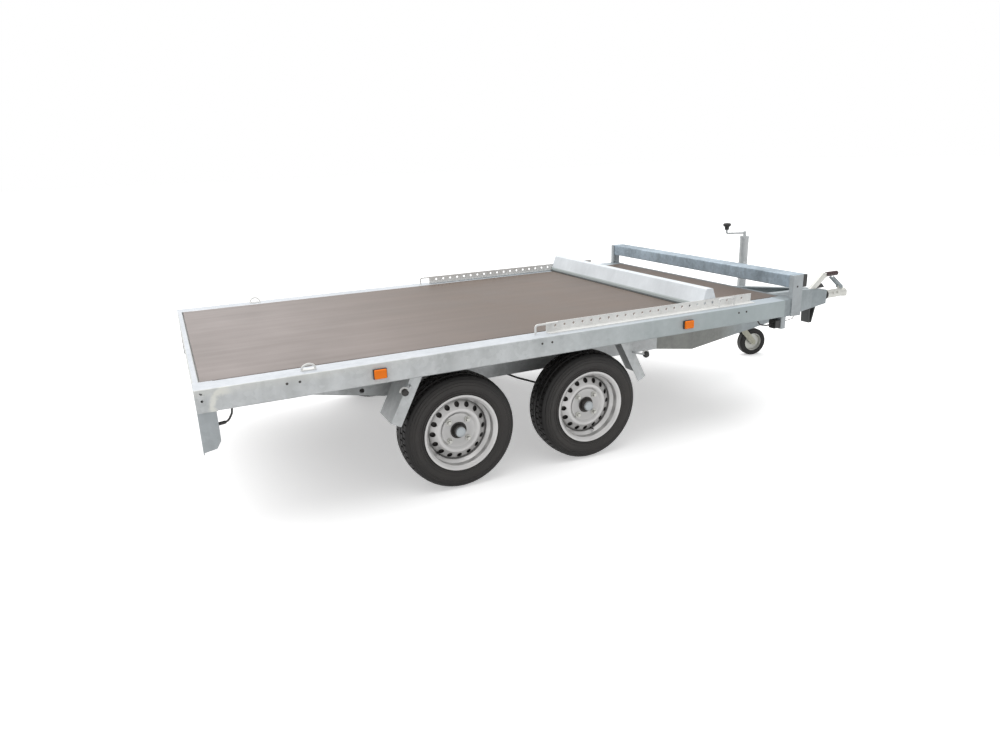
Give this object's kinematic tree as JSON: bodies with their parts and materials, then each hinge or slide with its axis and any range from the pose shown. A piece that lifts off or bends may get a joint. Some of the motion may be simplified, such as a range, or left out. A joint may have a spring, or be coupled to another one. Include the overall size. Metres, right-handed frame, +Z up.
{
  "type": "flatbed trailer",
  "caption": "Tandem-axle flatbed trailer: galvanised frame, brown plywood deck, perforated side guides, wheel stop, front board, V drawbar with ball coupling and jockey wheel.",
  "frame": {"origin": "on the ground, at the middle of the overall length and width", "axes": "+X forward to the coupling, +Y to the left, +Z up"},
  "size_m": [4.5504, 1.786, 0.9813],
  "materials": {
    "galvanised": "hot-dip galvanised steel",
    "bright_zinc": "bright zinc plate",
    "deck_ply": "brown phenolic film on plywood",
    "tyre_rubber": "black rubber",
    "rim_silver": "silver paint",
    "drum_iron": "black paint on cast iron",
    "black_plastic": "matt black",
    "red_grip": "dark red moulding",
    "grey_plastic": "dark grey moulding",
    "lamp_red": "red lens",
    "lamp_amber": "amber lens"
  },
  "bodies": {
    "chassis": {"axle_beam_front": "galvanised", "axle_beam_rear": "galvanised", "board_plugs": "black_plastic", "brake_backplates": "drum_iron", "brake_cables": "black_plastic", "brake_linkage": "bright_zinc", "chassis_beam_left": "galvanised", "chassis_beam_right": "galvanised", "coupling_bellows": "black_plastic", "coupling_handle": "bright_zinc", "coupling_head": "bright_zinc", "deck_bearers": "galvanised", "deck_panel_front": "deck_ply", "deck_panel_rear": "deck_ply", "drawbar_arm_left": "galvanised", "drawbar_arm_right": "galvanised", "earth_wires": "red_grip", "front_board": "galvanised", "front_cross_member": "galvanised", "front_lamps": "black_plastic", "front_post_left": "galvanised", "front_post_right": "galvanised", "guard_knobs": "black_plastic", "guide_rail_left": "galvanised", "guide_rail_right": "galvanised", "handbrake_grip": "red_grip", "handbrake_lever": "bright_zinc", "jockey_clamp": "galvanised", "jockey_crank": "bright_zinc", "jockey_knob": "black_plastic", "jockey_tube": "bright_zinc", "lamp_brackets": "galvanised", "lamp_leads": "black_plastic", "lashing_rings": "bright_zinc", "mudguards": "galvanised", "overrun_housing": "galvanised", "rear_cross_member": "galvanised", "side_markers": "lamp_amber", "side_rail_left": "galvanised", "side_rail_right": "galvanised", "suspension_arms": "galvanised", "tail_lamps": "lamp_red", "wheel_chock": "grey_plastic", "wheel_stop": "galvanised"},
    "wheel_rear_left": {"tyre_rear_left": "tyre_rubber", "rim_rear_left": "rim_silver", "hub_rear_left": "drum_iron"},
    "wheel_rear_right": {"tyre_rear_right": "tyre_rubber", "rim_rear_right": "rim_silver", "hub_rear_right": "drum_iron"},
    "wheel_front_left": {"tyre_front_left": "tyre_rubber", "rim_front_left": "rim_silver", "hub_front_left": "drum_iron"},
    "wheel_front_right": {"tyre_front_right": "tyre_rubber", "rim_front_right": "rim_silver", "hub_front_right": "drum_iron"},
    "jockey_leg": {"jockey_leg": "bright_zinc"},
    "jockey_fork": {"jockey_fork": "bright_zinc"},
    "jockey_wheel": {"jockey_hub": "bright_zinc", "jockey_tyre": "tyre_rubber"}
  },
  "joints": [
    {"name": "wheel_rear_left_spin", "type": "hinge", "parent": "chassis", "child": "wheel_rear_left", "pos_m": [-1.18725, 0.75, 0.276], "axis": [0, 1, 0], "continuous": true},
    {"name": "wheel_rear_right_spin", "type": "hinge", "parent": "chassis", "child": "wheel_rear_right", "pos_m": [-1.18725, -0.75, 0.276], "axis": [0, 1, 0], "continuous": true},
    {"name": "wheel_front_left_spin", "type": "hinge", "parent": "chassis", "child": "wheel_front_left", "pos_m": [-0.49525, 0.75, 0.276], "axis": [0, 1, 0], "continuous": true},
    {"name": "wheel_front_right_spin", "type": "hinge", "parent": "chassis", "child": "wheel_front_right", "pos_m": [-0.49525, -0.75, 0.276], "axis": [0, 1, 0], "continuous": true},
    {"name": "jockey_leg_slide", "type": "slide", "parent": "chassis", "child": "jockey_leg", "axis": [0, 0, 1], "range_m": [-0.12, 0.085]},
    {"name": "jockey_swivel", "type": "hinge", "parent": "jockey_leg", "child": "jockey_fork", "pos_m": [1.45975, 0.22358, 0.1], "axis": [0, 0, 1], "continuous": true},
    {"name": "jockey_wheel_spin", "type": "hinge", "parent": "jockey_fork", "child": "jockey_wheel", "pos_m": [1.56648, 0.19696, 0.1], "axis": [0.2419, 0.9703, 0], "continuous": true}
  ]
}
